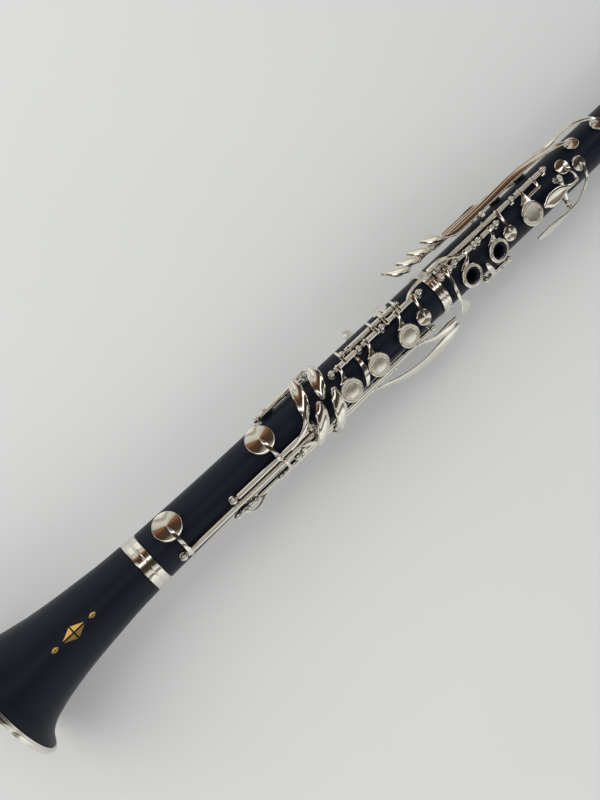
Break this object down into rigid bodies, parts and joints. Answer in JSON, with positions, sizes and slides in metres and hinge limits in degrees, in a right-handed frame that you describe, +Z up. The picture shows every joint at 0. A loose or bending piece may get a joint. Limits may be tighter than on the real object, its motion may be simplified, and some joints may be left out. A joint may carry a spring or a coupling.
{
  "type": "clarinet",
  "caption": "Black soprano clarinet with nickel-plated keywork, standing upright on its flared bell.",
  "frame": {"origin": "centre of the bell's rim, on the plane that the instrument stands on", "axes": "+Z up the bore to the mouthpiece's tip, -Y towards the side with the finger holes, +X towards the left hand's little-finger levers"},
  "size_m": [0.0794, 0.0794, 0.669],
  "materials": {
    "black_plastic": "satin, fine brushed grain",
    "nickel": "polished plating",
    "cork": "waxed natural cork",
    "ebonite": "polished hard rubber",
    "cane": "dry shaved cane"
  },
  "bodies": {
    "bell": {"bell": "black_plastic", "bell_rim_ring": "nickel", "bell_socket_ring": "nickel"},
    "lower_joint": {"lower_joint": "black_plastic", "lower_tenon_cork": "cork", "middle_ring": "nickel", "thumb_rest": "nickel", "rod_lower_stack": "nickel", "rod_lower_sliver": "nickel", "rod_low_keys": "nickel", "rod_f_sharp_pad": "nickel", "rod_f_sharp_touch": "nickel", "rod_a_flat": "nickel", "rod_left_e": "nickel", "rod_left_f": "nickel"},
    "upper_joint": {"upper_joint": "black_plastic", "middle_tenon_cork": "cork", "top_tenon_cork": "cork", "register_tube": "nickel", "rod_upper_stack": "nickel", "rod_side_line": "nickel", "rod_throat_keys": "nickel", "rod_upper_sliver": "nickel", "rod_thumb_ring": "nickel", "rod_register": "nickel", "rod_side_keys": "nickel"},
    "barrel": {"barrel": "black_plastic", "barrel_lower_ring": "nickel", "barrel_upper_ring": "nickel"},
    "mouthpiece": {"mouthpiece": "ebonite", "mouthpiece_cork": "cork", "reed": "cane", "ligature": "nickel"},
    "ligature_screw_lower": {"ligature_screw_lower": "nickel"},
    "ligature_screw_upper": {"ligature_screw_upper": "nickel"},
    "key_right_third": {"key_right_third": "nickel"},
    "key_right_second": {"key_right_second": "nickel"},
    "key_right_first": {"key_right_first": "nickel"},
    "key_lower_sliver": {"key_lower_sliver": "nickel"},
    "key_low_e": {"key_low_e": "nickel"},
    "key_low_f": {"key_low_f": "nickel"},
    "key_a_flat": {"key_a_flat": "nickel"},
    "key_f_sharp_touch": {"key_f_sharp_touch": "nickel"},
    "key_f_sharp_pad": {"key_f_sharp_pad": "nickel"},
    "lever_left_e": {"lever_left_e": "nickel"},
    "lever_left_f": {"lever_left_f": "nickel"},
    "key_left_third": {"key_left_third": "nickel"},
    "key_left_second": {"key_left_second": "nickel"},
    "key_left_first": {"key_left_first": "nickel"},
    "key_c_sharp_touch": {"key_c_sharp_touch": "nickel"},
    "key_c_sharp_pad": {"key_c_sharp_pad": "nickel"},
    "key_upper_sliver": {"key_upper_sliver": "nickel"},
    "key_thumb_ring": {"key_thumb_ring": "nickel"},
    "key_a": {"key_a": "nickel"},
    "key_g_sharp": {"key_g_sharp": "nickel"},
    "key_register": {"key_register": "nickel"},
    "key_side_1": {"key_side_1": "nickel"},
    "key_side_2": {"key_side_2": "nickel"},
    "key_side_3": {"key_side_3": "nickel"},
    "key_side_4": {"key_side_4": "nickel"}
  },
  "joints": [
    {"name": "lower_joint_turn", "type": "hinge", "parent": "bell", "child": "lower_joint", "pos_m": [0, 0, 0.1063], "axis": [0, 0, 1], "continuous": true},
    {"name": "upper_joint_turn", "type": "hinge", "parent": "lower_joint", "child": "upper_joint", "pos_m": [0, 0, 0.3273], "axis": [0, 0, 1], "range_deg": [-3, 3]},
    {"name": "barrel_tuning_slide", "type": "slide", "parent": "upper_joint", "child": "barrel", "axis": [0, 0, 1], "range_m": [0, 0.003]},
    {"name": "mouthpiece_turn", "type": "hinge", "parent": "barrel", "child": "mouthpiece", "pos_m": [0, 0, 0.5805], "axis": [0, 0, 1], "continuous": true},
    {"name": "ligature_screw_lower_turn", "type": "hinge", "parent": "mouthpiece", "child": "ligature_screw_lower", "pos_m": [0, 0.0164, 0.6115], "axis": [1, 0, 0], "continuous": true},
    {"name": "ligature_screw_upper_turn", "type": "hinge", "parent": "mouthpiece", "child": "ligature_screw_upper", "pos_m": [0, 0.0164, 0.6225], "axis": [1, 0, 0], "continuous": true},
    {"name": "key_right_third_press", "type": "hinge", "parent": "lower_joint", "child": "key_right_third", "pos_m": [-0.01383, -0.0112, 0.2385], "axis": [0, 0, 1], "range_deg": [0, 6]},
    {"name": "key_right_second_press", "type": "hinge", "parent": "lower_joint", "child": "key_right_second", "pos_m": [-0.01383, -0.0112, 0.262], "axis": [0, 0, 1], "range_deg": [0, 6]},
    {"name": "key_right_first_press", "type": "hinge", "parent": "lower_joint", "child": "key_right_first", "pos_m": [-0.01383, -0.0112, 0.2895], "axis": [0, 0, 1], "range_deg": [0, 6]},
    {"name": "key_lower_sliver_press", "type": "hinge", "parent": "lower_joint", "child": "key_lower_sliver", "pos_m": [-0.0158, -0.00704, 0.285], "axis": [0, 0, 1], "range_deg": [0, 5]},
    {"name": "key_low_e_press", "type": "hinge", "parent": "lower_joint", "child": "key_low_e", "pos_m": [0.00345, -0.01695, 0.18], "axis": [0, 0, 1], "range_deg": [-5.5, 0]},
    {"name": "key_low_f_press", "type": "hinge", "parent": "lower_joint", "child": "key_low_f", "pos_m": [-0.00106, -0.01727, 0.22], "axis": [0, 0, 1], "range_deg": [-5.5, 0]},
    {"name": "key_a_flat_press", "type": "hinge", "parent": "lower_joint", "child": "key_a_flat", "pos_m": [-0.01704, 0.003, 0.225], "axis": [0, 0, 1], "range_deg": [0, 6]},
    {"name": "key_f_sharp_touch_press", "type": "hinge", "parent": "lower_joint", "child": "key_f_sharp_touch", "pos_m": [0.01626, -0.00592, 0.2], "axis": [0, 0, 1], "range_deg": [-3.2, 0]},
    {"name": "key_f_sharp_pad_press", "type": "hinge", "parent": "lower_joint", "child": "key_f_sharp_pad", "pos_m": [0.01112, -0.01325, 0.166], "axis": [0, 0, 1], "range_deg": [-8.4, 0]},
    {"name": "lever_left_e_press", "type": "hinge", "parent": "lower_joint", "child": "lever_left_e", "pos_m": [0.00917, -0.01467, 0.26], "axis": [0, 0, 1], "range_deg": [0, 5.6]},
    {"name": "lever_left_f_press", "type": "hinge", "parent": "lower_joint", "child": "lever_left_f", "pos_m": [0.01382, -0.01041, 0.26], "axis": [0, 0, 1], "range_deg": [0, 12.2]},
    {"name": "key_left_third_press", "type": "hinge", "parent": "upper_joint", "child": "key_left_third", "pos_m": [-0.01244, -0.01202, 0.342], "axis": [0, 0, 1], "range_deg": [0, 5]},
    {"name": "key_left_second_press", "type": "hinge", "parent": "upper_joint", "child": "key_left_second", "pos_m": [-0.01244, -0.01202, 0.366], "axis": [0, 0, 1], "range_deg": [0, 5]},
    {"name": "key_left_first_press", "type": "hinge", "parent": "upper_joint", "child": "key_left_first", "pos_m": [-0.01513, -0.00839, 0.396], "axis": [0, 0, 1], "range_deg": [0, 6]},
    {"name": "key_c_sharp_touch_press", "type": "hinge", "parent": "upper_joint", "child": "key_c_sharp_touch", "pos_m": [-0.01202, -0.01244, 0.343], "axis": [0, 0, 1], "range_deg": [0, 6]},
    {"name": "key_c_sharp_pad_press", "type": "hinge", "parent": "upper_joint", "child": "key_c_sharp_pad", "pos_m": [-0.01513, -0.00839, 0.36], "axis": [0, 0, 1], "range_deg": [-6, 0]},
    {"name": "key_upper_sliver_press", "type": "hinge", "parent": "upper_joint", "child": "key_upper_sliver", "pos_m": [0.01382, -0.01041, 0.363], "axis": [0, 0, 1], "range_deg": [-6, 0]},
    {"name": "key_thumb_ring_press", "type": "hinge", "parent": "upper_joint", "child": "key_thumb_ring", "pos_m": [0.01112, 0.01325, 0.4], "axis": [0, 0, 1], "range_deg": [0, 5]},
    {"name": "key_a_press", "type": "hinge", "parent": "upper_joint", "child": "key_a", "pos_m": [0.00116, -0.01656, 0.4374], "axis": [0.9976, 0.0698, 0], "range_deg": [0, 6]},
    {"name": "key_g_sharp_press", "type": "hinge", "parent": "upper_joint", "child": "key_g_sharp", "pos_m": [0.00116, -0.01656, 0.4374], "axis": [0.9976, 0.0698, 0], "range_deg": [0, 6]},
    {"name": "key_register_press", "type": "hinge", "parent": "upper_joint", "child": "key_register", "pos_m": [-0.00469, 0.01634, 0.436], "axis": [-0.9613, -0.2756, 0], "range_deg": [0, 6]},
    {"name": "key_side_1_press", "type": "hinge", "parent": "upper_joint", "child": "key_side_1", "pos_m": [-0.01881, 0.00264, 0.385], "axis": [-0.1392, -0.9903, 0], "range_deg": [0, 4]},
    {"name": "key_side_2_press", "type": "hinge", "parent": "upper_joint", "child": "key_side_2", "pos_m": [-0.01881, 0.00264, 0.385], "axis": [-0.1392, -0.9903, 0], "range_deg": [0, 3]},
    {"name": "key_side_3_press", "type": "hinge", "parent": "upper_joint", "child": "key_side_3", "pos_m": [-0.01881, 0.00264, 0.385], "axis": [-0.1392, -0.9903, 0], "range_deg": [0, 2.5]},
    {"name": "key_side_4_press", "type": "hinge", "parent": "upper_joint", "child": "key_side_4", "pos_m": [-0.01881, 0.00264, 0.385], "axis": [-0.1392, -0.9903, 0], "range_deg": [0, 2.2]}
  ],
  "couplings": [
    {"joint": "key_f_sharp_pad_press", "follows": "key_f_sharp_touch_press", "ratio": 2.6},
    {"joint": "lever_left_e_press", "follows": "key_low_e_press", "ratio": -1},
    {"joint": "lever_left_f_press", "follows": "key_low_f_press", "ratio": -2.2},
    {"joint": "key_c_sharp_pad_press", "follows": "key_c_sharp_touch_press", "ratio": -1}
  ]
}
